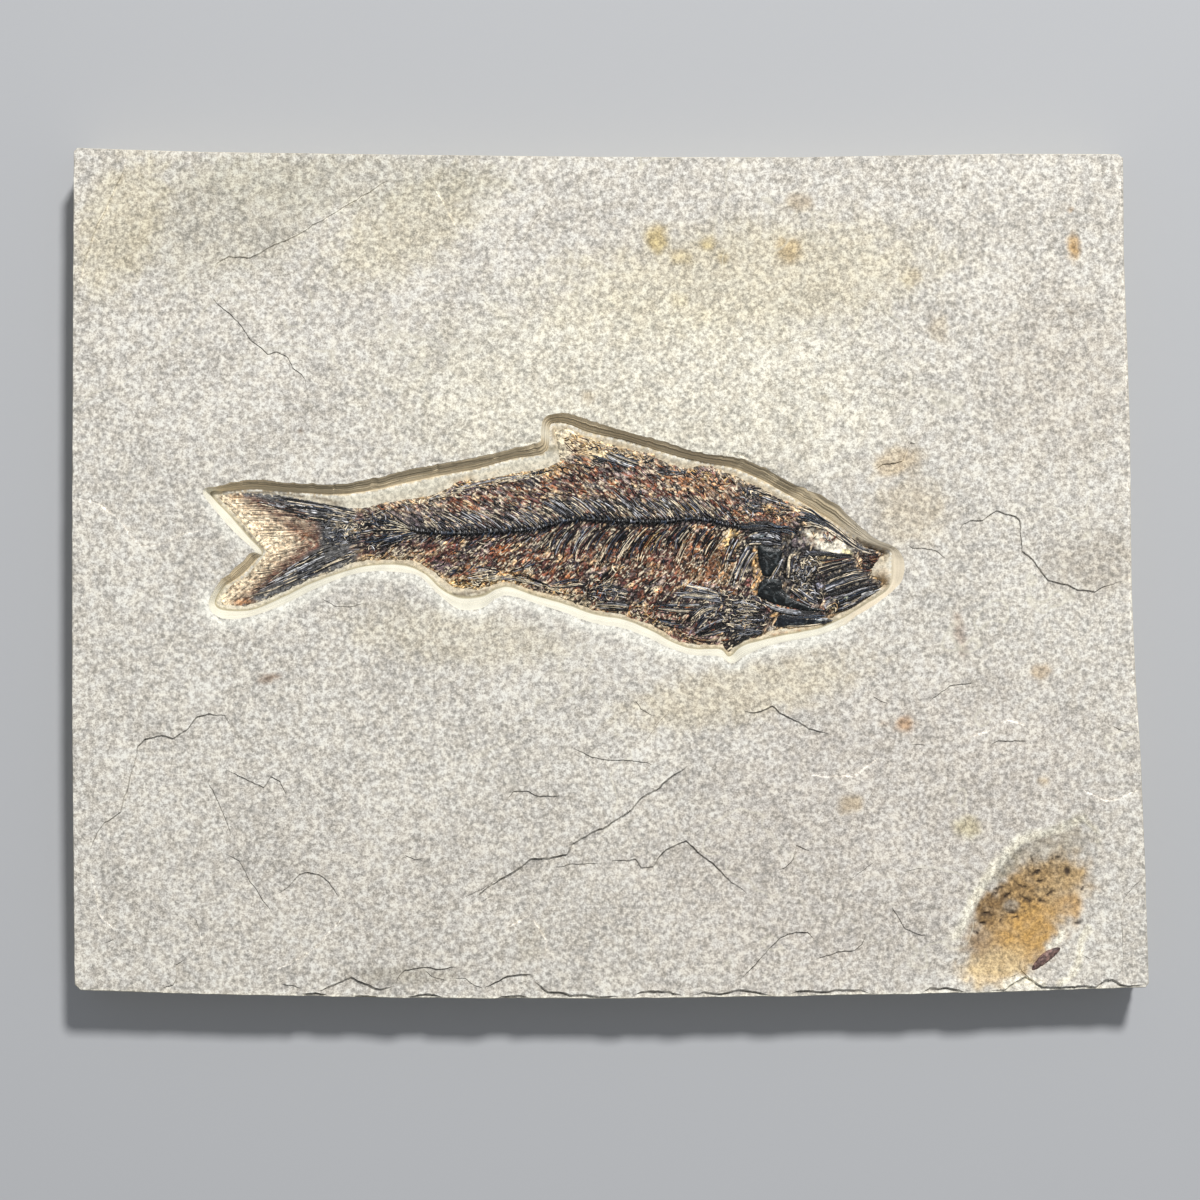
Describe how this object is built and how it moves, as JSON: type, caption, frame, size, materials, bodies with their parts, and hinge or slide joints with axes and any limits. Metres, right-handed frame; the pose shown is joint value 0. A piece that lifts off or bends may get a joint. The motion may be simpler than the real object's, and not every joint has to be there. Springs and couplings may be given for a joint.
{
  "type": "fossil fish slab",
  "caption": "Rectangular limestone plate with a fossil fish in low relief on the floor of a prepared hollow, and a small coprolite in a rusty corner hollow.",
  "frame": {"origin": "middle of the slab's flat back face, under the centre of its bounding box", "axes": "+X along the slab towards the fish's head, +Y towards the fish's back, +Z out of the fossil face, with the slab lying on its back"},
  "size_m": [0.2415, 0.1908, 0.0138],
  "materials": {
    "limestone": "matte speckled",
    "fossil_bone": "satin",
    "coprolite": "matte"
  },
  "bodies": {
    "root": {"limestone_slab": "limestone", "fossil_fish": "fossil_bone", "coprolite": "coprolite"}
  },
  "joints": []
}
